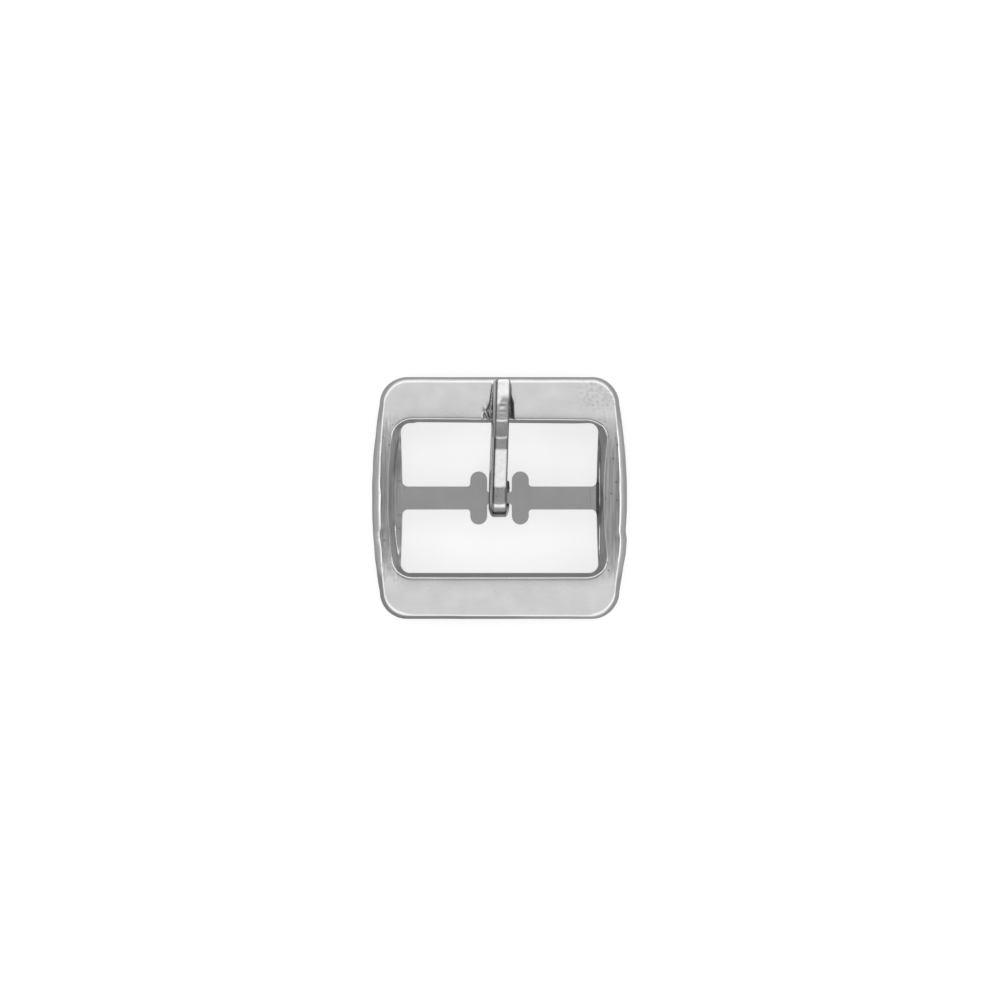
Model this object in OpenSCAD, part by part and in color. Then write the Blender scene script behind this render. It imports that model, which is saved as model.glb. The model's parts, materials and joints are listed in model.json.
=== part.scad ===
// Centre bar belt buckle for a 25 mm strap: a pressed sheet frame with its bar
// in one piece, and a prong curled round the bar's neck.
// X runs along the bar, Y along the strap towards the prong's tip, Z up from the back.

/* [Strap] */
// Width of the strap
strap_w = 25; // [20:1:35]
// Free width beside the strap, both sides together
strap_play = 0.4; // [0.2:0.1:2]
// Gap along the strap between the bar and each end rail
strap_gap = 8.2; // [7:0.2:11]

/* [Frame] */
// Thickness of the frame's sheet
sheet_t = 1.05; // [0.9:0.05:1.1]
// Width of each end rail at the back
end_rail_w = 6.1; // [5:0.1:7.4]
// Width of each side rail at the middle, at the back
side_rail_w = 3.9; // [3.6:0.1:5]
// How far each side bulges between its ends
side_bulge = 2.2; // [1.4:0.1:2.6]
// Radius of the outer corners at the back
corner_r = 3.4; // [2.8:0.1:4.2]
// Radius of the window's corners at the back
window_r = 1.2; // [0.8:0.1:2]
// Height of the end rails' outer edge above the back
end_h = 2.3; // [1.9:0.1:2.8]
// Height of the side rails' crest above the bar's front
crest_over_bar = 2.4; // [1.9:0.1:2.8]
// Lean of the outer walls, in degrees
outer_lean = 12; // [8:1:14]
// Lean of the window's walls, in degrees
window_lean = 14; // [8:1:16]
// Length of the flat foot at each end of the back
foot_len = 3.2; // [2.4:0.1:4.4]

/* [Centre bar] */
// Height of the bar along the strap
bar_h = 3; // [2.4:0.1:3.6]
// Height of the neck that the prong turns on
neck_h = 1.4; // [1.2:0.1:1.6]
// Gap between the two ears
ear_gap = 3.2; // [3:0.1:3.8]
// Width of each ear along the bar
ear_w = 2.2; // [1.8:0.1:2.8]
// Length of each ear along the strap
ear_len = 6.9; // [5.6:0.1:8]
// Radius where the bar runs into the frame
bar_end_r = 0.7; // [0.4:0.1:1]
// Radius where the neck runs into the ears
neck_r = 0.35; // [0.2:0.05:0.4]
// Radius where the ears run into the bar
ear_root_r = 0.4; // [0.2:0.1:0.6]

/* [Prong] */
// Width of the prong
prong_w = 2.3; // [1.9:0.1:2.5]
// Thickness of the prong
prong_t = 1.25; // [1.1:0.05:1.35]
// Radius of the curl's bore round the neck
curl_bore_r = 1.15; // [1.1:0.05:1.3]
// How far the curl wraps round the neck, in degrees
curl_turn = 280; // [265:5:290]
// Sideways lean of the loose blade, in degrees
blade_lean = 1.8; // [0:0.1:2]
// Sideways seat of the loose prong, towards -X
side_seat = 0.15; // [0:0.05:0.2]
// Height of the blade's crest above the curl's front
crest_rise = 1; // [0.6:0.1:1.3]
// Length of the step down to the end rail
step_len = 2.1; // [1.8:0.1:2.6]
// How far the tip stops short of the frame's end
tip_inset = 0.3; // [0.1:0.1:1]

/* [Trough] */
// Radius of the trough that the tip lies in
trough_r = 2.5; // [2.2:0.1:3]
// Depth of the trough at the window
trough_deep = 0.95; // [0.8:0.05:1.1]
// Depth of the trough at the frame's end
trough_shallow = 0.45; // [0.35:0.05:0.6]
// Gap between the resting prong and the trough
seat_gap = 0.06; // [0.04:0.01:0.15]

/* [Hidden] */
$fn = 96;
SPAN = 100;         // longer than any part of the buckle
CURL_LIFT = 0.05;   // height of the curl above the surface that the frame rests on
BAR_ROOT = 0.75;    // share of the sheet that each end of the bar reaches into the window's wall
BACK_STEP = 0.12;   // how far the side rails' backs stand below the bar's back
TIP_R = 0.5;        // radius of the blade's tip corners
CORNER_EASE = 0.04; // keeps each rounded corner from ending exactly on its walls
SEAT_IN = 0.2;      // how far past the window's edge the blade starts to lie in the trough
LEAN_ROOM = 0.3;    // how far the lean carries the blade's lower edges up the trough's side
RISE_START = 0.25;  // how far past the curl's bore the blade starts to rise
CREST_LEN = 1.5;    // length of the blade's level crest

// Plan sizes
window_w = strap_w + strap_play;
window_len = bar_h + 2 * strap_gap;
frame_w = window_w + 2 * side_rail_w;
frame_len = window_len + 2 * end_rail_w;

// Heights
curl_r = curl_bore_r + prong_t;
pivot_z = curl_r + CURL_LIFT;
bar_back = pivot_z - sheet_t / 2;
bar_front = pivot_z + sheet_t / 2;
crest_z = bar_front + crest_over_bar;
rail_back = bar_back - BACK_STEP;

// The front is an arc from end rail to end rail, and the back an arc between the feet.
function arc_radius(half_chord, rise) = (pow(half_chord, 2) + pow(rise, 2)) / (2 * rise);
function arc_height(radius, top, y) = top - radius + sqrt(pow(radius, 2) - pow(y, 2));
front_r = arc_radius(frame_len / 2, crest_z - end_h);
back_half = frame_len / 2 - foot_len;
back_r = arc_radius(back_half, rail_back);

// How far a leaning wall has moved at a height
function lean(angle, height) = height * tan(angle);

// Half sizes of the outline and the window at z = 0. The stated widths hold at the back
// of the side rails' middles.
outline_half_w = frame_w / 2 + lean(outer_lean, rail_back);
window_half_w = window_w / 2 - lean(window_lean, rail_back);

// Each side's arc and the two corners on it meet on the line through their centres.
side_arc_r = (pow(frame_len / 2, 2) + pow(side_bulge, 2)) / (2 * side_bulge);
side_centre_x = outline_half_w - side_arc_r;
corner_y = frame_len / 2 - corner_r;
corner_x = side_centre_x + sqrt(pow(side_arc_r - corner_r, 2) - pow(corner_y, 2));
corner_start = asin(corner_y / (side_arc_r - corner_r));

module mirrored_x() for (side = [0, 1]) mirror([side, 0, 0]) children();
module mirrored_y() for (side = [0, 1]) mirror([0, side, 0]) children();

// The leaning walls are made from below the back to above the crest, and trimmed later.
WALL_FOOT = -1;
WALL_H = crest_z + 2;
function size_at_foot(size, angle) = size + lean(angle, -WALL_FOOT);
function size_at_top(size, angle) = size - lean(angle, WALL_FOOT + WALL_H);

// A cone whose radius is stated at z = 0
module leaning_disc(radius, angle)
    translate([0, 0, WALL_FOOT])
        cylinder(r1 = size_at_foot(radius, angle), r2 = size_at_top(radius, angle), h = WALL_H);

// A bar along X whose half width is stated at z = 0
module leaning_bar(half_width, angle) {
    foot = size_at_foot(half_width, angle);
    top = size_at_top(half_width, angle);
    translate([0, 0, WALL_FOOT]) rotate([90, 0, 90]) linear_extrude(height = SPAN, center = true)
        polygon([[-foot, 0], [foot, 0], [top, WALL_H], [-top, WALL_H]]);
}

// What lies outside a rounded corner, between a direction and +Y
module corner_waste(radius, angle, start)
    difference() {
        translate([0, 0, WALL_FOOT]) linear_extrude(height = WALL_H)
            polygon([[0, 0], SPAN * [cos(start), sin(start)], [SPAN, SPAN], [0, SPAN]]);
        leaning_disc(radius + CORNER_EASE, angle);
    }

// The space inside the outer walls, or inside their inner faces when there is an inset
module outer_body(inset)
    difference() {
        intersection() {
            leaning_bar(frame_len / 2 - inset, outer_lean);
            translate([side_centre_x, 0, 0]) leaning_disc(side_arc_r - inset, outer_lean);
            translate([-side_centre_x, 0, 0]) leaning_disc(side_arc_r - inset, outer_lean);
        }
        mirrored_x() mirrored_y()
            translate([corner_x, corner_y, 0]) corner_waste(corner_r - inset, outer_lean, corner_start);
    }

// The window, or the space out to its walls' hidden faces when there is some growth
module window_body(growth)
    difference() {
        intersection() {
            leaning_bar(window_len / 2 + growth, -window_lean);
            rotate([0, 0, 90]) leaning_bar(window_half_w + growth, -window_lean);
        }
        mirrored_x() mirrored_y()
            translate([window_half_w - window_r, window_len / 2 - window_r, 0])
                corner_waste(window_r + growth, -window_lean, 0);
    }

module along_x(radius, top)
    translate([-SPAN / 2, 0, top - radius])
        rotate([0, 90, 0]) cylinder(r = radius, h = SPAN, $fn = 128);

// The trough falls from the frame's end towards the window.
trough_out_z = arc_height(front_r, crest_z, frame_len / 2) - trough_shallow;
trough_in_z = arc_height(front_r, crest_z, window_len / 2) - trough_deep;
trough_fall = atan((trough_in_z - trough_out_z) / end_rail_w);

module trough(grow)
    translate([0, frame_len / 2, trough_out_z + trough_r])
        rotate([90 - trough_fall, 0, 0])
            translate([0, 0, -end_rail_w])
                cylinder(r = trough_r + grow, h = 3 * end_rail_w);

module hollow()
    difference() {
        intersection() {
            outer_body(sheet_t);
            along_x(front_r - sheet_t, crest_z - sheet_t);
        }
        window_body(sheet_t);
        trough(sheet_t);
    }

module rails()
    difference() {
        intersection() {
            outer_body(0);
            along_x(front_r, crest_z);
            translate([-SPAN / 2, -SPAN / 2, 0]) cube(SPAN);
        }
        window_body(0);
        trough(0);
        hollow();
        along_x(back_r, rail_back);
    }

// Fills the corner at the origin, between the +X and +Y directions.
module corner_fill(r)
    difference() {
        square(r);
        translate([r, r]) circle(r = r);
    }

bar_half_len = window_half_w + lean(window_lean, pivot_z) + BAR_ROOT * sheet_t;
bar_wall_x = window_half_w + lean(window_lean, bar_back);

module half_bar_plan() {
    ear_x = ear_gap / 2;
    translate([ear_x, -bar_h / 2]) square([bar_half_len - ear_x, bar_h]);
    // The ear, with round ends
    translate([ear_x, -(ear_len - ear_w) / 2]) square([ear_w, ear_len - ear_w]);
    for (end = [-1, 1])
        translate([ear_x + ear_w / 2, end * (ear_len - ear_w) / 2]) circle(d = ear_w);
    translate([0, -neck_h / 2]) square([ear_x, neck_h]);
    for (flip = [0, 1]) mirror([0, flip]) {
        translate([ear_x + ear_w, bar_h / 2]) corner_fill(ear_root_r);
        translate([ear_x, neck_h / 2]) mirror([1, 0]) corner_fill(neck_r);
        translate([bar_wall_x, bar_h / 2]) mirror([1, 0]) corner_fill(bar_end_r);
        translate([bar_wall_x, 0]) square([bar_half_len - bar_wall_x, bar_h / 2 + bar_end_r]);
    }
}

module centre_bar()
    translate([0, 0, bar_back])
        linear_extrude(height = sheet_t)
            for (side = [0, 1]) mirror([side, 0]) half_bar_plan();

module frame() color("silver") {
    rails();
    centre_bar();
}

// The blade's front, from the curl to the tip, as [y, z] points
curl_front = pivot_z + curl_r;
blade_crest = curl_front + crest_rise;
seat_y = window_len / 2 + SEAT_IN;
tip_y = frame_len / 2 - tip_inset;
// The blade's flat underside meets the trough at its two lower edges.
edge_x = prong_w / 2 + side_seat + LEAN_ROOM;
edge_lift = trough_r - sqrt(pow(trough_r, 2) - pow(edge_x, 2)) + seat_gap;
function trough_z(y) = trough_out_z + (frame_len / 2 - y) * tan(trough_fall);
seat_z = trough_z(seat_y) + edge_lift + prong_t;
tip_z = trough_z(tip_y) + edge_lift + prong_t;
crest_end_y = seat_y - step_len;
blade_front = [
    [0, curl_front],
    [curl_bore_r + RISE_START, curl_front],
    [crest_end_y - CREST_LEN, blade_crest],
    [crest_end_y, blade_crest],
    [seat_y, seat_z],
    [tip_y, tip_z]
];

// A path moved square to itself, with its corners mitred
function unit(v) = v / norm(v);
function turned(v) = [v[1], -v[0]];
function normal_before(path, i) = turned(unit(path[max(i, 1)] - path[max(i, 1) - 1]));
function normal_after(path, i) =
    turned(unit(path[min(i + 1, len(path) - 1)] - path[min(i, len(path) - 2)]));
function moved(path, distance) = [
    for (i = [0:len(path) - 1])
        let (a = normal_before(path, i), b = normal_after(path, i))
            path[i] + (a + b) * distance / (1 + a * b)
];
function reversed(list) = [for (i = [len(list) - 1:-1:0]) list[i]];

module side_extrude(width)
    rotate([90, 0, 90]) linear_extrude(height = width, center = true) children();

module blade()
    rotate([0, 0, -blade_lean])
        intersection() {
            side_extrude(prong_w) polygon(concat(blade_front, reversed(moved(blade_front, prong_t))));
            linear_extrude(height = 2 * blade_crest) {
                translate([-prong_w / 2, -curl_r]) square([prong_w, curl_r + tip_y - TIP_R]);
                translate([-prong_w / 2 + TIP_R, 0]) square([prong_w - 2 * TIP_R, tip_y]);
                for (side = [-1, 1])
                    translate([side * (prong_w / 2 - TIP_R), tip_y - TIP_R]) circle(r = TIP_R);
            }
        }

// The curl goes from the blade down round the neck, and ends short of the blade's underside.
module curl() {
    reach = 2 * curl_r;
    end_angle = curl_turn - 270;
    side_extrude(prong_w)
        translate([0, pivot_z])
            difference() {
                circle(r = curl_r);
                circle(r = curl_bore_r);
                polygon([[0, 0], [0, reach], [reach, reach], reach * [cos(end_angle), sin(end_angle)]]);
            }
}

module prong() color("lightgray")
    translate([-side_seat, 0, 0]) {
        blade();
        curl();
    }

frame();
prong();
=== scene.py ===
import json
import math

import bmesh
import bpy
from mathutils import Matrix, Vector, noise


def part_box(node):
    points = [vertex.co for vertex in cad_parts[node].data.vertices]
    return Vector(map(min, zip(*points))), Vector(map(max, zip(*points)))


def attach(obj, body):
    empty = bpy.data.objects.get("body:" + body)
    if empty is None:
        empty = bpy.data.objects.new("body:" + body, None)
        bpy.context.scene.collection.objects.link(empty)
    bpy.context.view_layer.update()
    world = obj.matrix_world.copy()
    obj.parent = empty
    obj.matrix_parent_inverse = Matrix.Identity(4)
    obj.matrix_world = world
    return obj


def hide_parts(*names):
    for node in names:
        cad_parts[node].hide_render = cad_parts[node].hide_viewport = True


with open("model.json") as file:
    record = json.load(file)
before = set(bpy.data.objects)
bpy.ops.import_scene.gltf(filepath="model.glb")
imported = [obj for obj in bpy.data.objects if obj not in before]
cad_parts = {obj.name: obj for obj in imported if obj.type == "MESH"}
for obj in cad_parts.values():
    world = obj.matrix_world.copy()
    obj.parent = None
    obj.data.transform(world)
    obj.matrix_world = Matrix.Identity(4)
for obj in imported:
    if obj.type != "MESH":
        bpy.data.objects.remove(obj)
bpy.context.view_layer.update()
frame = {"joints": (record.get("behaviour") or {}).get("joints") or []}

# Frame: its shape
# One steel sheet, stamped and pressed: a bowed rim with a hollow back, and inside it the bar,
# two ears and a neck cut from the same sheet. A trough is pressed across the rail under the tip.
MM = 0.001
frame_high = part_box("frame")[1]
HALF_W = frame_high.x / MM
HALF_LEN = frame_high.y / MM
CREST = frame_high.z / MM
pivot = Vector(frame["joints"][0]["pos_m"]) / MM
SHEET = 1.05
BAR_FRONT = pivot.z + SHEET / 2
BAR_BACK = pivot.z - SHEET / 2


def blend_step(low, high, value):
    t = min(max((value - low) / (high - low), 0), 1)
    return t * t * (3 - 2 * t)


def bump(centre, width, value):
    return math.exp(-((value - centre) / width) ** 2)


def soft_min(a, b, round_off):
    return (a + b - math.sqrt((a - b) ** 2 + round_off ** 2)) / 2


# The front is flat beside the bar, curves over, and runs straight down each end rail.
END_SLOPE = math.radians(18.5)
FLAT_Y, BEND_Y = 2.0, 10.8
BEND_R = (BEND_Y - FLAT_Y) / math.sin(END_SLOPE)


def front_height(y):
    past_flat = min(max(abs(y) - FLAT_Y, 0), BEND_Y - FLAT_Y)
    past_bend = max(abs(y) - BEND_Y, 0)
    return CREST - BEND_R + math.sqrt(BEND_R ** 2 - past_flat ** 2) - past_bend * math.tan(END_SLOPE)


# The back curves up between the two flat feet.
RAIL_BACK, FOOT_Y = 1.8, HALF_LEN - 3.2
BACK_R = (FOOT_Y ** 2 + RAIL_BACK ** 2) / (2 * RAIL_BACK)


def back_height(y):
    return max(0, RAIL_BACK - BACK_R + math.sqrt(BACK_R ** 2 - min(abs(y), FOOT_Y) ** 2))


# The trough falls towards the window, and runs a little askew, as the prong does. Its walls
# stand close to the prong's tip, and flare out towards the mouth.
TROUGH_R, TROUGH_OUT, TROUGH_FALL = 2.5, 2.0, math.tan(math.radians(11.3))
TROUGH_X, TROUGH_SKEW = -0.1, 0.06
WALL_SLOPE, LEFT_WALL, RIGHT_WALL = 0.9, 0.95, 1.05


def trough_height(x, y):
    centre = TROUGH_X + TROUGH_SKEW * (y - 10)
    across = min(abs(x - centre), TROUGH_R)
    walls = WALL_SLOPE * (blend_step(10.9, 12.6, y) * max(centre - x - LEFT_WALL, 0)
                          + blend_step(12.2, 13.7, y) * max(x - centre - RIGHT_WALL, 0))
    bowl = TROUGH_R - math.sqrt(TROUGH_R ** 2 - across ** 2)
    return TROUGH_OUT + (HALF_LEN - y) * TROUGH_FALL + bowl + walls


# Marks of the press, each as (height, X, width in X, Y, width in Y): a knock on each side and a
# dish at the left of the trough's mouth, with two rolls of metal in it, which lean.
KNOCKS = [(-0.05, -15.2, 0.5, -3.9, 0.5), (-0.06, 15.3, 0.5, -4.9, 0.6), (-0.3, -1.7, 0.42, 10.7, 0.9)]
ROLLS = [(0.24, -1.62, 0.2, 11.1, 0.6), (0.17, -1.15, 0.14, 11.2, 0.5)]
ROLL_LEAN, ROLL_Y = 0.3, 11
# The sides fall away past FALL_X, more so on the left beyond the bar. The whole face has waves.
FALL_X, SIDE_FALL, EXTRA_FALL = 14.5, 0.045, 1.2
WAVE_HEIGHT = 0.012


def raised(marks, x, y):
    return sum(height * bump(at_x, wide_x, x) * bump(at_y, wide_y, y)
               for height, at_x, wide_x, at_y, wide_y in marks)


def press_marks(x, y):
    on_side = blend_step(11.2, 9.5, abs(y))
    uneven = 1 + EXTRA_FALL * blend_step(2, 0, y) * (x < 0)
    fall = SIDE_FALL * max(abs(x) - FALL_X, 0) ** 2 * uneven * on_side
    waves = WAVE_HEIGHT * (noise.noise(Vector((x * 0.25, y * 0.25, 3))) - 1)
    return raised(KNOCKS, x, y) + raised(ROLLS, x + ROLL_LEAN * (y - ROLL_Y), y) + waves - fall


def outside_height(x, y):
    face = front_height(y)
    pressed = soft_min(face, trough_height(x, y), 0.14) if y > 8 else face
    return pressed + press_marks(x, y)


def hidden_height(x, y):
    return outside_height(x, y) - SHEET


# The flange at the window's sides lies in the bar's plane, and dies away towards the corners.
SIDE_STEPS, ROOT_STEPS, CORNER_STEPS, END_STEPS = 100, 13, 14, 200
WINDOW_X, WINDOW_Y, WINDOW_CORNER = 12.6, 9.75, 1.2
ROOT_Y = ROOT_STEPS * 2 * (WINDOW_Y - WINDOW_CORNER) / SIDE_STEPS


def flange(beside_bar, at_ends):
    lift = beside_bar - back_height(ROOT_Y)
    return lambda x, y: (back_height(max(abs(y), ROOT_Y)) + at_ends
                         + (lift - at_ends) * (1 - blend_step(6, 9.2, abs(y))))


def back_rim(x, y):
    return back_height(y)


# Each fold runs round the rim: the X of its left and right sides at the bar, its X at the
# corners, its Y at the end rails, its corner radius, its height and its rounding.
inner_edge = ((-14.35, 13.4, 13.95, 10.3, 2.7), outside_height, 0.34)
outer_edge = ((-15.62, 15.75, 15.0, 15.3, 3.1), outside_height, 0.42)
outer_foot = ((-HALF_W, HALF_W, 15.65, HALF_LEN, 3.6), back_rim, 0.15)
folds = [
    ((-WINDOW_X, WINDOW_X, 12.85, WINDOW_Y, WINDOW_CORNER), flange(BAR_FRONT, 0.3), 0.1),
    ((-13.7, 13.05, 13.0, 9.87, 1.35), flange(BAR_FRONT + 0.02, 0.9), 0.15),
    inner_edge,
    outer_edge,
    outer_foot,
    ((-HALF_W + 1, HALF_W - 1, 14.7, HALF_LEN - 1, 2.7), back_rim, 0.12),
    ((-15.2, 15.0, 14.35, 14.4, 2.4), hidden_height, 0.3),
    ((-15.0, 14.85, 14.3, 11.35, 2.2), hidden_height, 0.3),
    ((-14.75, 14.3, 13.95, 10.9, 2.1), flange(BAR_BACK, 0), 0.15),
    ((-WINDOW_X, WINDOW_X, 12.85, WINDOW_Y, WINDOW_CORNER), flange(BAR_BACK, 0), 0.1),
]


# The sheet's level after each fold, on the sides and on the end rails: 0 is as the press drew
# it, and 1 is the polished face. The walls' low levels are partly that drawn finish and partly
# painted shade. Folds 0 and 1 stand at the window, 2 and 3 are the face's two edges.
POLISH_AND_SHADE = [(0.4, 0.12), (0.2, 0.0), (1, 1), (0.16, -0.04)] + [(0.35, 0.35)] * 6
BAR_BUFFED = 0.97


def bar_tone_and_shade(x):
    """The bar is one grey, but for a painted bend near its right end, a dark line with a lighter strip
    after it, and painted shade beyond it.
    """
    painted_bend_shading = 0.2 * bump(11.8, 0.04, x) - 0.04 * blend_step(11.85, 11.95, x)
    return BAR_BUFFED - painted_bend_shading - 1.1 * blend_step(12.45, 12.6, x)


def polish_and_shade_after(number, point):
    on_side, on_end = POLISH_AND_SHADE[number % len(POLISH_AND_SHADE)]
    # Painted shade: the right flange is darker, most of all beside the bar's end.
    if number == 0 and point.x > 0:
        on_side = 0.22 - 0.4 * blend_step(2.3, 1.8, abs(point.y))
    # Painted light: the left flange and wall are lighter, most of all beside the bar.
    if number in (0, 1) and point.x < 0:
        on_side += 0.15 + (0.6 - 0.5 * number) * blend_step(4.2, 2.2, abs(point.y))
    # Painted light: the end rails' outer walls are lighter towards +Y, and on the near rail towards the
    # right.
    if number == 3:
        on_end += 0.25 * blend_step(0, 14, point.y)
        on_end += 0.2 * blend_step(-4, 8, point.x) * blend_step(0, -14, point.y)
    ends_start = 8.2 if number in (0, 1) else 9
    return on_side + (on_end - on_side) * blend_step(ends_start, ends_start + 1.4, abs(point.y))


def polish_and_shade_at(number, share, point):
    """The rounding's level: crests keep the face's polish, but beside the window the inner crest is
    painted darker as shade, and the wall's foot carries a painted highlight in two stretches and painted
    shade elsewhere.
    """
    before, after = polish_and_shade_after(number - 1, point), polish_and_shade_after(number, point)
    low, high = {2: (0.05, 0.4), 3: (0.55, 1.3)}.get(number, (0.2, 0.8))
    if number == 3:
        high -= 0.3 * blend_step(9, 11, abs(point.y))
    level = before + (after - before) * blend_step(low, high, share)
    beside_window = blend_step(8.2, 7, abs(point.y)) * bump(0.45, 0.35, share)
    # Painted shade on the inner crest beside the window.
    if number == 2:
        level *= 1 - 0.75 * beside_window
    # Painted highlight on the wall's foot in two stretches, and painted shade on it elsewhere beside the
    # window.
    if number == 1:
        painted_fold_highlight = max(blend_step(-8, -7, point.y) * blend_step(-3.2, -4.2, point.y),
                     (point.x > 0) * blend_step(-1.4, -0.4, point.y) * blend_step(5, 3.5, point.y))
        level += 0.85 * painted_fold_highlight * beside_window - 0.9 * level * (1 - painted_fold_highlight) * beside_window
    return level


# A station is where a fold's point stands: on the box of corner centres, and which way it faces.
# Along the end rails they crowd together at the trough.
def along_end(i):
    share = i / END_STEPS
    return 1 - 2 * (share + 0.1 * math.sin(2 * math.pi * share))


def stations():
    for i in range(SIDE_STEPS):
        yield 1, -1 + 2 * i / SIDE_STEPS, 0
    for i in range(CORNER_STEPS):
        yield 1, 1, 90 * i / CORNER_STEPS
    for i in range(END_STEPS):
        yield along_end(i), 1, 90
    for i in range(CORNER_STEPS):
        yield -1, 1, 90 + 90 * i / CORNER_STEPS
    for i in range(SIDE_STEPS):
        yield -1, 1 - 2 * i / SIDE_STEPS, 180
    for i in range(CORNER_STEPS):
        yield -1, -1, 180 + 90 * i / CORNER_STEPS
    for i in range(END_STEPS):
        yield -along_end(i), -1, 270
    for i in range(CORNER_STEPS):
        yield 1, -1, 270 + 90 * i / CORNER_STEPS


def fold_point(fold, station):
    (left, right, corner_x, half_len, corner_r), height = fold[:2]
    across, along, facing = station
    y = along * (half_len - corner_r) + corner_r * math.sin(math.radians(facing))
    side = right if across > 0 else -left
    bulge = (side - corner_x) * (1 - along ** 2) * abs(across)
    x = across * (corner_x - corner_r + bulge) + corner_r * math.cos(math.radians(facing))
    near_window = half_len < inner_edge[0][3] - 0.4
    if near_window and y > 9:
        y += (0.03 - 0.0085 * x) * blend_step(-11.3, -10.6, x) * blend_step(12, 9.5, x)
    if fold is inner_edge:
        y += (-0.18 - 0.008 * x) * blend_step(9, 10, y) + 0.04 * blend_step(-9, -10, y)
    if fold is outer_edge:
        y += 0.1 * blend_step(14, 15, y) - (0.05 + 0.004 * x) * blend_step(-14, -15, y)
    if fold in (outer_edge, outer_foot) and x > 15:
        x += 0.19 * bump(-6.9, 2, y) + 0.06 * (bump(-5.4, 0.6, y) - bump(-4.2, 0.6, y))
    if fold is outer_edge and x < -15:
        x -= 0.17 * blend_step(-4.1, -4.6, y) * blend_step(-6.8, -5, y)
    if not near_window:
        x += 0.05 * noise.noise(Vector((across * 4, y * 0.45, half_len)))
        y += 0.03 * noise.noise(Vector((x * 0.4, along * 4, half_len)))
    limit_x, limit_y = HALF_W - 0.002, HALF_LEN - 0.002
    x, y = min(max(x, -limit_x), limit_x), min(max(y, -limit_y), limit_y)
    return Vector((x, y, height(x, y)))


def beside(corner, other, reach, on_face):
    length = (other - corner).length
    point = corner.lerp(other, min(reach / length, 0.45))
    if on_face:
        point.z = outside_height(point.x, point.y)
    return point


def rounded(start, corner, end, steps):
    for i in range(steps + 1):
        t = i / steps
        yield start.lerp(corner, t).lerp(corner.lerp(end, t), t)


# The sheet's section at a station: every fold rounded, and the face between the crest's edges.
ROUND_STEPS, FACE_STEPS = 6, 34


def section(station):
    corners = [fold_point(fold, station) for fold in folds]
    across, along = station[:2]
    off_root = 1
    if abs(across) == 1:
        off_root = blend_step(ROOT_STEPS + 0.5, ROOT_STEPS + 6, abs(along) * SIDE_STEPS / 2)
    ends = []
    for i, fold in enumerate(folds):
        is_window = i in (0, len(folds) - 1)
        reach = fold[2] * (off_root if is_window else 1)
        if fold is inner_edge:
            reach += 0.12 * blend_step(-9, -10, corners[i].y)
        if fold is outer_edge and corners[i].y < 0:
            reach *= 1 - 0.62 * blend_step(13, 11, abs(corners[i].x))
        after = corners[(i + 1) % len(folds)]
        ends.append((beside(corners[i], corners[i - 1], reach, fold is outer_edge),
                     beside(corners[i], after, reach, fold is inner_edge)))
    for i, fold in enumerate(folds):
        start, end = ends[i]
        for step, point in enumerate(rounded(start, corners[i], end, ROUND_STEPS)):
            yield point, polish_and_shade_at(i, step / ROUND_STEPS, corners[i])
        if fold is inner_edge:
            for step in range(1, FACE_STEPS):
                point = end.lerp(ends[i + 1][0], step / FACE_STEPS)
                point.z = outside_height(point.x, point.y)
                # Painted shade: on the end rails the face is darker close to its inner edge.
                yield point, 1 - 0.25 * math.exp(-step / 3.5) * blend_step(9, 11, abs(point.y))


rim = bmesh.new()
polish_and_shade_layer = rim.verts.layers.float.new("polish_and_shade")
place_layer = rim.verts.layers.int.new("place")
sections = [list(section(station)) for station in stations()]
ring_count = len(sections[0])
bmesh.ops.create_circle(rim, segments=len(sections), radius=1)
rim.verts.ensure_lookup_table()
for i, v in enumerate(rim.verts):
    v[place_layer] = i
    v.co, v[polish_and_shade_layer] = sections[i][0]
newest = list(rim.edges)
for number in list(range(1, ring_count)) + [0]:
    grown = bmesh.ops.extrude_edge_only(rim, edges=newest)["geom"]
    fresh = {v for v in grown if isinstance(v, bmesh.types.BMVert)}
    newest = [e for e in grown if isinstance(e, bmesh.types.BMEdge) and all(v in fresh for v in e.verts)]
    for v in fresh:
        v.co, v[polish_and_shade_layer] = sections[v[place_layer]][number]
bmesh.ops.remove_doubles(rim, verts=rim.verts, dist=2e-4)

# Frame: its bar
# The bar, ears and neck are left from the blank, flat and as thick as the sheet. The window's
# cut edge is opened where the bar's roots run into the flange.
roots = [f for f in rim.faces
         if all(abs(v.co.y) < ROOT_Y + 0.01 and WINDOW_X - 0.1 < abs(v.co.x) < WINDOW_X + 0.06
                and (abs(v.co.z - BAR_FRONT) < 0.02 or abs(v.co.z - BAR_BACK) < 0.02) for v in f.verts)
         and abs(f.normal.z) < 0.5]
bmesh.ops.delete(rim, geom=roots, context="FACES_ONLY")

BAR_Y, NECK_Y, EAR_X, EAR_R, EAR_Y = 1.5, 0.7, 2.7, 1.1, 3.45
EAR_FILLET, NECK_FILLET = 0.4, 0.35


def arc(centre, radius, start, end, steps):
    for i in range(steps + 1):
        turn = math.radians(start + (end - start) * i / steps)
        yield Vector((centre[0] + radius * math.cos(turn), centre[1] + radius * math.sin(turn), BAR_FRONT))


root_r = ROOT_Y - BAR_Y
root_start = fold_point(folds[0], (1, 2 * ROOT_STEPS / SIDE_STEPS, 0))
quarter = [
    *list(arc((root_start.x - root_r, ROOT_Y), root_r, 0, -90, 8))[1:],
    *arc((EAR_X + EAR_R + EAR_FILLET, BAR_Y + EAR_FILLET), EAR_FILLET, 270, 180, 6),
    *arc((EAR_X, EAR_Y - EAR_R), EAR_R, 0, 180, 20),
    *arc((EAR_X - EAR_R - NECK_FILLET, NECK_Y + NECK_FILLET), NECK_FILLET, 0, -90, 6),
]
root_line = [fold_point(folds[0], (1, -2 * i / SIDE_STEPS, 0))
             for i in range(-ROOT_STEPS, ROOT_STEPS + 1)]
right_half = quarter[::-1] + root_line + [Vector((p.x, -p.y, p.z)) for p in quarter]
outline = right_half + [Vector((-p.x, -p.y, p.z)) for p in right_half]

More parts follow.
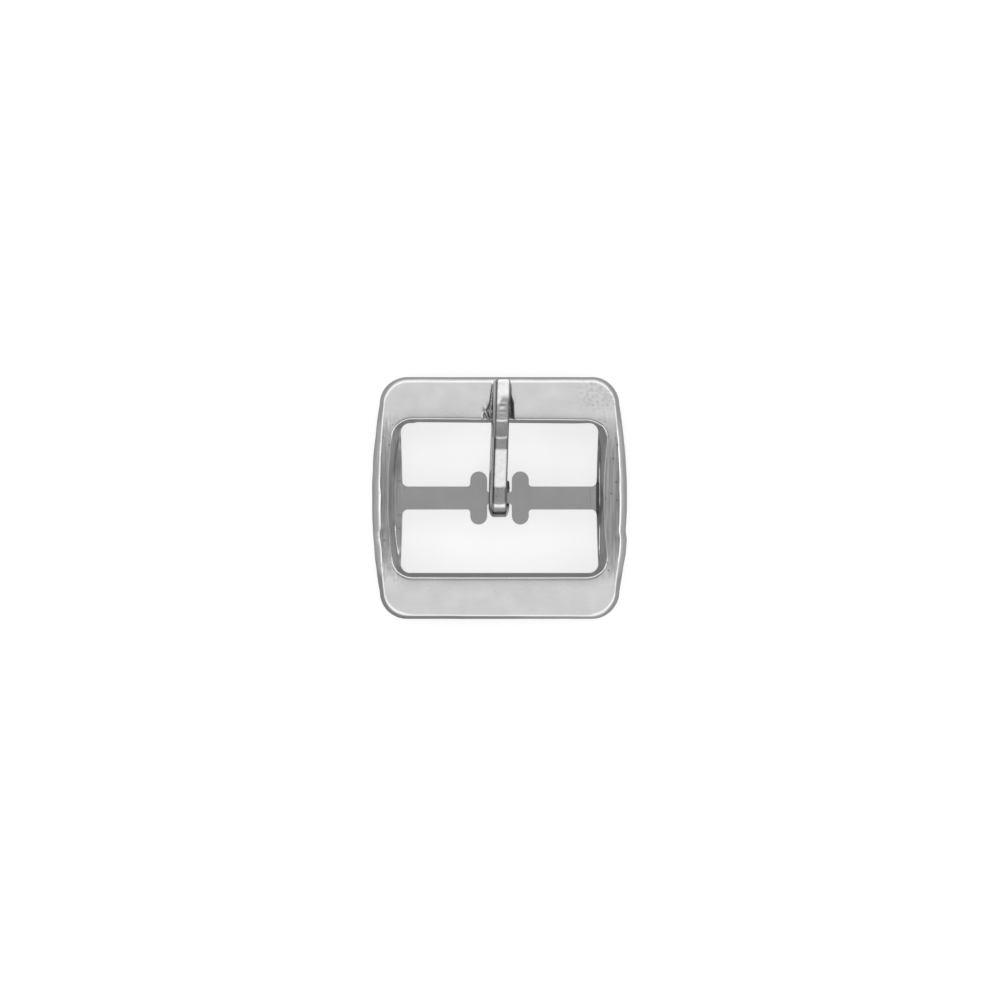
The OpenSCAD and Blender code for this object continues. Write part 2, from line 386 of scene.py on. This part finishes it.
bar_top = [rim.verts.new(p) for p in outline]
for v in bar_top:
    v[polish_and_shade_layer] = BAR_BUFFED
bar_face = rim.faces.new(bar_top)
grown = bmesh.ops.extrude_face_region(rim, geom=[bar_face])["geom"]
bar_bottom = [v for v in grown if isinstance(v, bmesh.types.BMVert)]
for v in bar_bottom:
    v.co.z = BAR_BACK
bar_verts = set(bar_top + bar_bottom)
root_plan = {(round(abs(p.x), 4), round(abs(p.y), 4)) for p in root_line}
root_verts = {v for v in bar_verts if (round(abs(v.co.x), 4), round(abs(v.co.y), 4)) in root_plan}
root_ends = [f for f in rim.faces if len(f.verts) == 4 and all(v in root_verts for v in f.verts)]
bmesh.ops.delete(rim, geom=root_ends, context="FACES_ONLY")
bmesh.ops.remove_doubles(rim, verts=rim.verts, dist=5e-4)
bmesh.ops.delete(rim, geom=[e for e in rim.edges if not e.link_faces], context="EDGES")
bmesh.ops.recalc_face_normals(rim, faces=rim.faces)
cut_edges = [e for e in rim.edges
             if e.is_manifold and e.calc_face_angle() > math.radians(60)
             and all(abs(v.co.x) < WINDOW_X + 0.02 and abs(v.co.y) < EAR_Y + 0.01 for v in e.verts)
             and abs(e.verts[0].co.z - e.verts[1].co.z) < 0.01
             and any(abs(v.co.y) < ROOT_Y - 0.01 or abs(v.co.x) < EAR_X + 2 for v in e.verts)]
bmesh.ops.bevel(rim, geom=cut_edges, offset=0.09, segments=3, profile=0.5, affect="EDGES",
                clamp_overlap=True, material=-1)
# These cuts across the bar's right end carry its painted bend line and painted shade.
for cut_x in (11.7, 11.8, 11.9, 12.45):
    bar_geom = {f for f in rim.faces if all(abs(v.co.x) < WINDOW_X + 0.03 and abs(v.co.y) < EAR_Y + 0.01
                                            for v in f.verts)}
    bar_geom |= {part for f in bar_geom for part in (*f.verts, *f.edges)}
    bmesh.ops.bisect_plane(rim, geom=list(bar_geom), plane_co=(cut_x, 0, 0), plane_no=(1, 0, 0))
rim.normal_update()
# Painted shade: the bar's cut edges darken towards its back, and its back is dark, save where they face
# +Y.
for v in rim.verts:
    if abs(v.co.x) < WINDOW_X + 0.03 and abs(v.co.y) < EAR_Y + 0.01:
        cut_edge = blend_step(BAR_FRONT - 0.01, BAR_FRONT - 0.05, v.co.z) * blend_step(0.6, 0, v.normal.y)
        v[polish_and_shade_layer] = bar_tone_and_shade(v.co.x) * (1 - 0.95 * cut_edge)


def finished(mesh_builder, name):
    mesh_builder.transform(Matrix.Scale(MM, 4))
    mesh = bpy.data.meshes.new(name)
    mesh_builder.to_mesh(mesh)
    mesh_builder.free()
    mesh.polygons.foreach_set("use_smooth", [True] * len(mesh.polygons))
    piece = bpy.data.objects.new(name, mesh)
    bpy.context.scene.collection.objects.link(piece)
    return piece


pressed_frame = finished(rim, "pressed_frame")
pressed_frame.modifiers.new("flat_faces_shade_flat", "WEIGHTED_NORMAL")
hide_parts("frame")
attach(pressed_frame, "frame")


# Frame: its finish
# Nickel-plated steel. The face and the bar were polished, and the walls are as the press drew
# them. It gives a soft grey mirror on the face and the bar, and dull lines along the walls. The
# level that mixes drawn grey into plate also carries painted shade and painted highlights.
def linear(code):
    """An sRGB hex colour as the shader's linear one."""
    parts = [int(code[i:i + 2], 16) / 255 for i in (1, 3, 5)]
    return (*(c / 12.92 if c <= 0.04045 else ((c + 0.055) / 1.055) ** 2.4 for c in parts), 1)


def add(tree, kind, links=None, values=None, **settings):
    """Adds a node, sets it, and links named inputs to other nodes' outputs."""
    node = tree.nodes.new("ShaderNode" + kind)
    for name, setting in settings.items():
        setattr(node, name, setting)
    for key, value in (values or {}).items():
        node.inputs[key].default_value = value
    for key, socket in (links or {}).items():
        tree.links.new(socket, node.inputs[key])
    return node


def set_stops(node, stops):
    """Stops are (place, grey) pairs on a colour ramp."""
    ramp = node.color_ramp
    while len(ramp.elements) < len(stops):
        ramp.elements.new(1)
    for element, (place, grey) in zip(ramp.elements, stops):
        element.position, element.color = place, (grey, grey, grey, 1)


def new_material(name):
    made = bpy.data.materials.new(name)
    made.use_nodes = True
    return made, made.node_tree, made.node_tree.nodes["Principled BSDF"]


nickel, tree, shader = new_material("polished_nickel_plate_on_pressed_steel")
place = add(tree, "TexCoord").outputs["Object"]
in_mm = add(tree, "Mapping", {"Vector": place}, {"Scale": (1000, 1000, 1000)}).outputs["Vector"]
polish_and_shade = add(tree, "Attribute", attribute_name="polish_and_shade").outputs["Fac"]

# Draw lines, about 0.3 mm apart and 6 mm long, run along the sides and their walls.
along_sides = add(tree, "Mapping", {"Vector": in_mm}, {"Scale": (3.2, 0.16, 2)}).outputs["Vector"]
draw_lines = add(tree, "TexNoise", {"Vector": along_sides}, {"Scale": 1, "Detail": 3, "Roughness": 0.6})
apart = add(tree, "SeparateXYZ", {"Vector": in_mm})
from_middle = add(tree, "Math", {0: apart.outputs["X"]}, operation="ABSOLUTE").outputs[0]
on_sides = add(tree, "MapRange", {"Value": from_middle},
               {"From Min": 12.3, "From Max": 13.2}).outputs["Result"]
from_bar = add(tree, "Math", {0: apart.outputs["Y"]}, operation="ABSOLUTE").outputs[0]
off_ends = add(tree, "MapRange", {"Value": from_bar},
               {"From Min": 11.4, "From Max": 9.4}).outputs["Result"]
side_part = add(tree, "Math", {0: on_sides, 1: off_ends}, operation="MULTIPLY").outputs[0]

# Tumbling leaves pits about 0.4 mm across and a faint cloud a few millimetres wide. Specks of
# scale are left on the sides, and the pits are dark at the right of the tip's rail.
pits = add(tree, "TexNoise", {"Vector": in_mm}, {"Scale": 2.4, "Detail": 4, "Roughness": 0.65})
cloud = add(tree, "TexNoise", {"Vector": in_mm}, {"Scale": 0.35, "Detail": 2})
specks = add(tree, "TexVoronoi", {"Vector": in_mm}, {"Scale": 0.9, "Randomness": 1})
speck_spots = add(tree, "MapRange", {"Value": specks.outputs["Distance"]},
                  {"From Min": 0.08, "From Max": 0.17, "To Min": 0.6, "To Max": 1}).outputs["Result"]

# The drawn grey also serves as the colour of the painted shade.
drawn_and_shade_grey, plate = linear("#5c5c5c"), linear("#cccccc")
metal_tone = add(tree, "Mix", {0: polish_and_shade}, {6: drawn_and_shade_grey, 7: plate}, data_type="RGBA").outputs[2]
clouded = add(tree, "MapRange", {"Value": cloud.outputs["Fac"]},
              {"From Min": 0.3, "From Max": 0.7, "To Min": 0.95, "To Max": 1.03}).outputs["Result"]
lined = add(tree, "MapRange", {"Value": draw_lines.outputs["Fac"]},
            {"From Min": 0.35, "From Max": 0.62, "To Min": 0.82, "To Max": 1.16}).outputs["Result"]
lined = add(tree, "Math", {0: lined, 1: speck_spots}, operation="MULTIPLY").outputs[0]
pit_x = add(tree, "MapRange", {"Value": apart.outputs["X"]}, {"From Min": 9.5, "From Max": 11.5})
pit_y = add(tree, "MapRange", {"Value": apart.outputs["Y"]}, {"From Min": 10.8, "From Max": 12})
pitted = add(tree, "Math", {0: pit_x.outputs["Result"], 1: pit_y.outputs["Result"]}, operation="MULTIPLY")
pit_shade = add(tree, "MapRange", {"Value": pits.outputs["Fac"]},
                {"From Min": 0.38, "From Max": 0.52, "To Min": 0.8, "To Max": 1}).outputs["Result"]
pit_tone = add(tree, "Mix", {0: pitted.outputs[0], 3: pit_shade}, {2: 1.0}, data_type="FLOAT").outputs[0]
clouded = add(tree, "Math", {0: clouded, 1: pit_tone}, operation="MULTIPLY").outputs[0]
lined_there = add(tree, "Mix", {0: side_part, 3: lined}, {2: 1.0}, data_type="FLOAT").outputs[0]
shade = add(tree, "Math", {0: clouded, 1: lined_there}, operation="MULTIPLY").outputs[0]
toned = add(tree, "VectorMath", {0: metal_tone, "Scale": shade}, operation="SCALE").outputs["Vector"]
tree.links.new(toned, shader.inputs["Base Color"])
rough = add(tree, "MapRange", {"Value": polish_and_shade}, {"From Min": 0.6, "To Min": 0.42, "To Max": 0.18})
rough_cloud = add(tree, "Math", {0: pits.outputs["Fac"], 2: rough.outputs["Result"]}, {1: 0.08},
                  operation="MULTIPLY_ADD").outputs[0]
tree.links.new(rough_cloud, shader.inputs["Roughness"])
line_height = add(tree, "Math", {0: draw_lines.outputs["Fac"], 1: side_part},
                  operation="MULTIPLY").outputs[0]
relief = add(tree, "Math", {0: pits.outputs["Fac"], 2: line_height}, {1: 0.35},
             operation="MULTIPLY_ADD").outputs[0]
worn = add(tree, "Bump", {"Height": relief}, {"Strength": 0.35, "Distance": 0.00004})
tree.links.new(worn.outputs["Normal"], shader.inputs["Normal"])
shader.inputs["Metallic"].default_value = 1
pressed_frame.data.materials.append(nickel)

# Prong
# A short length of flat wire, its left edge rolled off by the cutter. One end is curled three
# quarters round the bar's neck, and the rest is bent up, over and down into the trough.
CURL_R = 2.4
WIRE = 1.25
CURL_TURN, LEAN = math.radians(280), math.radians(1.8)
CURL_X = -0.15
STEP = 0.1
# Where each bend is along the wire, and how far it turns it upwards.
BENDS = [(1.4, 11.53), (6.4, -11.53), (7.9, -18.8), (10.12, 5.49)]
BLADE = 15.8
TIP_R = 0.5


def heading(s):
    if s < 0:
        return -s / CURL_R
    return sum(math.radians(turn) * blend_step(at - 0.3, at + 0.3, s) for at, turn in BENDS)


# The wire's cross-section, seen from its tip: wider at the back, with the left edge rolled off.
WIRE_CORNERS = [((-1.33, -WIRE), 0.3), ((1.12, -WIRE), 0.3), ((1.06, 0), 0.28), ((-0.95, 0), 0.45)]


def wire_section():
    corners = WIRE_CORNERS
    points = []
    for i, ((x, z), reach) in enumerate(corners):
        corner = Vector((x, 0, z))
        before = Vector((corners[i - 1][0][0], 0, corners[i - 1][0][1]))
        after_x, after_z = corners[(i + 1) % 4][0]
        start = corner + (before - corner).normalized() * reach
        end = corner + (Vector((after_x, 0, after_z)) - corner).normalized() * reach
        points += rounded(start, corner, end, 6)
    return points


wire = bmesh.new()
ring = [wire.verts.new(p) for p in wire_section()]
flat_edges = [wire.edges.new((ring[i - 1], ring[i])) for i in range(len(ring))]
end_face = wire.faces.new(ring)
long_edges = [e for e in flat_edges if e.calc_length() > 0.4]
bmesh.ops.subdivide_edges(wire, edges=long_edges, cuts=9)
first_s = -CURL_TURN * CURL_R
run = BLADE - first_s
steps = round(run / STEP)
for v in wire.verts:
    v.co.y = first_s
for step in range(steps):
    grown = bmesh.ops.extrude_face_region(wire, geom=[end_face])["geom"]
    if step:
        bmesh.ops.delete(wire, geom=[end_face], context="FACES_ONLY")
    end_face = next(f for f in grown if isinstance(f, bmesh.types.BMFace))
    for v in end_face.verts:
        v.co.y = first_s + run * (step + 1) / steps
bmesh.ops.recalc_face_normals(wire, faces=wire.faces)

# The blade narrows to its rounded tip, and the tools have left their marks along it: a crease
# at each sharp bend, ripples under the press, and dimples.
CREASES = (-0.88, 7.8, 10.15)
RIPPLES = ((10.55, 0.012), (11.1, 0.018), (11.65, 0.02), (12.45, 0.045))
DIMPLES = ((0.2, 0.06), (1.25, 0.07), (12.15, 0.05))
satin_and_highlight_layer = wire.verts.layers.float.new("satin_and_highlight")
wire_painted_shade_layer = wire.verts.layers.float.new("wire_painted_shade")
for v in wire.verts:
    x, s, depth = v.co.x, v.co.y, -v.co.z
    narrow = 1 - 0.04 * blend_step(3, BLADE, s) + 0.07 * blend_step(12.4, 13.4, s) * (x > 0)
    near_tip = max(s - (BLADE - TIP_R), 0)
    off_tip = TIP_R - math.sqrt(max(TIP_R ** 2 - near_tip ** 2, 0))
    near_start = max(first_s + 0.25 - s, 0)
    off_start = 0.25 - math.sqrt(max(0.25 ** 2 - near_start ** 2, 0))
    v.co.x = x * narrow * (1 - 0.5 * off_tip - 0.8 * off_start)
    depth = WIRE / 2 + (depth - WIRE / 2) * (1 - 0.6 * off_tip - 0.8 * off_start)
    on_front = blend_step(0.5, 0, depth)
    rolled = max(blend_step(-0.46, -0.62, x), blend_step(0.8, 0.95, x))
    bow = 0.12 * ((x - 0.1) / 0.8) ** 2
    creases = sum(bump(at + bow, 0.09, s) for at in CREASES) * (1 - rolled)
    ridges = 0.025 * creases
    press = sum(high * bump(at, 0.12, s) * bump(0.15, 0.4, x) for at, high in RIPPLES)
    dimples = sum(deep * bump(at, 0.2, s) * bump(0.1, 0.24, x) for at, deep in DIMPLES)
    wave = 0.03 * noise.noise(Vector((x * 0.6, s * 0.7, 8)))
    v.co.z = -(depth - on_front * (ridges + press - dimples + wave - 0.01))
    # Painted highlight: the flats and the creases are marked to be lighter, and rougher.
    tip_flat = 12.2 + 1.0 * blend_step(-0.45, 0.2, x)
    flats = blend_step(1.2, 1.6, s) * blend_step(6.6, 6.2, s)
    flats += blend_step(tip_flat - 0.3, tip_flat + 0.6, s)
    v[satin_and_highlight_layer] = min(flats + creases, 1) * (1 - rolled) * blend_step(0.3, 0.05, depth)
    # Painted shade: the curl's top, the steep shoulder, both edges (leaving a light line on the rolled
    # edge as a painted highlight) and the wire's back are darkened.
    shoulder = blend_step(7.9, 8.2, s) * blend_step(10.1, 9.9, s)
    edge_dark = rolled * (1 - 0.85 * bump(-1.06, 0.14, x))
    v[wire_painted_shade_layer] = max(0.85 * blend_step(-1.0, -1.35, s), 0.68 * shoulder, edge_dark,
                        0.5 * blend_step(0.1, 0.6, depth))

# Then it is bent: each point is carried to where its length along the wire has got to. The curl
# was wound a little askew, and stands slightly out from the neck.
CURL_DRIFT, CURL_SAG = 0.36, 0.12
walk = [(0.0, 0.0, pivot.z + CURL_R)]
WALK_STEP = 0.01
while walk[-1][0] < BLADE + WALK_STEP:
    s, y, z = walk[-1]
    turn = heading(s + WALK_STEP / 2)
    walk.append((s + WALK_STEP, y + WALK_STEP * math.cos(turn), z + WALK_STEP * math.sin(turn)))
for v in wire.verts:
    s, depth = v.co.y, -v.co.z
    if s < 0:
        turn = -s / CURL_R
        y = -(CURL_R - depth) * math.sin(turn) - CURL_SAG * blend_step(0, -1.6, s)
        z = pivot.z + (CURL_R - depth) * math.cos(turn)
    else:
        turn = heading(s)
        _, y, z = walk[min(round(s / WALK_STEP), len(walk) - 1)]
        y, z = y + depth * math.sin(turn), z - depth * math.cos(turn)
    drift = CURL_DRIFT * blend_step(-3.2, -6.5, s) + max(s, 0) * math.tan(LEAN)
    v.co = Vector((v.co.x + CURL_X + drift, y, z))
prong = finished(wire, "prong_wire")
prong.modifiers.new("flat_faces_shade_flat", "WEIGHTED_NORMAL")
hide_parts("prong")
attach(prong, "prong")

# Prong: its finish
# Bright drawn steel wire, tumbled with the frame: a clear grey mirror, rougher on its flats and
# along each crease, where it is also painted lighter as a highlight. Its curl, shoulder, edges and
# back are painted darker as shade.
steel, tree, shader = new_material("tumbled_bright_steel_wire")
place = add(tree, "TexCoord").outputs["Object"]
in_mm = add(tree, "Mapping", {"Vector": place}, {"Scale": (1000, 1000, 1000)}).outputs["Vector"]
satin_and_highlight = add(tree, "Attribute", attribute_name="satin_and_highlight").outputs["Fac"]
scuffs = add(tree, "TexNoise", {"Vector": in_mm}, {"Scale": 1.8, "Detail": 4, "Roughness": 0.6})
wire_painted_shade = add(tree, "Attribute", attribute_name="wire_painted_shade").outputs["Fac"]
# The light grey is the painted highlight's colour, and the dark grey the painted shade's.
grey_wire, wire_highlight_grey, wire_shade_grey = linear("#c8c8c8"), linear("#f3f3f3"), linear("#5c5c5c")
tone = add(tree, "Mix", {0: wire_painted_shade}, {6: grey_wire, 7: wire_shade_grey}, data_type="RGBA").outputs[2]
tone = add(tree, "Mix", {0: satin_and_highlight, 6: tone}, {7: wire_highlight_grey}, data_type="RGBA").outputs[2]
scuffed = add(tree, "MapRange", {"Value": scuffs.outputs["Fac"]},
              {"From Min": 0.3, "From Max": 0.7, "To Min": 0.88, "To Max": 1.03}).outputs["Result"]
toned = add(tree, "VectorMath", {0: tone, "Scale": scuffed}, operation="SCALE").outputs["Vector"]
tree.links.new(toned, shader.inputs["Base Color"])
rough = add(tree, "MapRange", {"Value": satin_and_highlight}, {"To Min": 0.22, "To Max": 0.62}).outputs["Result"]
tree.links.new(rough, shader.inputs["Roughness"])
worn = add(tree, "Bump", {"Height": scuffs.outputs["Fac"]}, {"Strength": 0.3, "Distance": 0.00005})
tree.links.new(worn.outputs["Normal"], shader.inputs["Normal"])
shader.inputs["Metallic"].default_value = 1
prong.data.materials.append(steel)

# Camera, floor and light
# The buckle is seen from straight above, on a white table. The room is plain and pale: the table
# is bright where it is seen directly, and the metal reflects soft lights low on every side.
camera_data = bpy.data.cameras.new("camera")
camera = bpy.data.objects.new("camera", camera_data)
bpy.context.scene.collection.objects.link(camera)
bpy.context.scene.camera = camera
PICTURE_W, LENS, SENSOR = 130 * MM, 150, 36
camera_data.lens, camera_data.sensor_width = LENS, SENSOR
camera.location = (0.065 * MM, -0.26 * MM, PICTURE_W * LENS / SENSOR + 1.9 * MM)
camera_data.clip_start, camera_data.clip_end = 0.01, 5

slab = bmesh.new()
bmesh.ops.create_grid(slab, x_segments=1, y_segments=1, size=1500)
bmesh.ops.translate(slab, verts=slab.verts, vec=(0, 0, -0.03))
floor = finished(slab, "floor")
table, tree, shader = new_material("white_table")
shader.inputs["Base Color"].default_value = linear("#bcbcbc")
shader.inputs["Roughness"].default_value = 0.9
shader.inputs["Specular IOR Level"].default_value = 0.1
light_path = add(tree, "LightPath").outputs
seen = add(tree, "Math", {0: light_path["Is Camera Ray"], 1: light_path["Is Glossy Ray"]},
           operation="MAXIMUM").outputs[0]
seen = add(tree, "Math", {0: seen, 1: light_path["Is Transmission Ray"]}, operation="MAXIMUM").outputs[0]
glow = add(tree, "Math", {0: seen}, {1: 0.62}, operation="MULTIPLY").outputs[0]
tree.links.new(glow, shader.inputs["Emission Strength"])
shader.inputs["Emission Color"].default_value = (1, 1, 1, 1)
floor.data.materials.append(table)

# The room is grey overhead, with a broad light low on every side: brighter and lower to left
# and right, and starting higher up beyond the two end rails.
world = bpy.data.worlds.new("studio")
bpy.context.scene.world = world
world.use_nodes = True
tree = world.node_tree
toward = add(tree, "SeparateXYZ", {"Vector": add(tree, "TexCoord").outputs["Generated"]}).outputs
angle = add(tree, "Math", {0: toward["Z"]}, operation="ARCCOSINE").outputs[0]
share = add(tree, "Math", {0: angle}, {1: math.pi}, operation="DIVIDE").outputs[0]
x_square = add(tree, "Math", {0: toward["X"], 1: toward["X"]}, operation="MULTIPLY").outputs[0]
y_square = add(tree, "Math", {0: toward["Y"], 1: toward["Y"]}, operation="MULTIPLY").outputs[0]
flat_square = add(tree, "Math", {0: x_square, 1: y_square}, operation="ADD").outputs[0]
endways = add(tree, "Math", {0: y_square, 1: flat_square}, operation="DIVIDE").outputs[0]
BRIGHTEST = 2.2
to_ends = add(tree, "ValToRGB", {"Fac": share})
to_sides = add(tree, "ValToRGB", {"Fac": share})
# Each light's stops are (degrees from straight up, level).
END_LIGHTS = [(0, 0.52), (29.5, 0.52), (33.5, 0.85), (37.5, 0.98),
              (54, 1.7), (78, 1.7), (88, 0.6), (100, 0.3)]
SIDE_LIGHTS = [(0, 0.52), (5, 0.5), (13, 0.3), (46, 0.3), (56, 2.0), (82, 2.2), (90, 0.5), (100, 0.3)]
set_stops(to_ends, [(degrees / 180, level / BRIGHTEST) for degrees, level in END_LIGHTS])
set_stops(to_sides, [(degrees / 180, level / BRIGHTEST) for degrees, level in SIDE_LIGHTS])
mixed = add(tree, "Mix", {0: endways, 6: to_sides.outputs[0], 7: to_ends.outputs[0]}, data_type="RGBA")
sky = tree.nodes["Background"]
tree.links.new(mixed.outputs[2], sky.inputs["Color"])
sky.inputs["Strength"].default_value = BRIGHTEST

bpy.context.scene.view_settings.view_transform = "Standard"
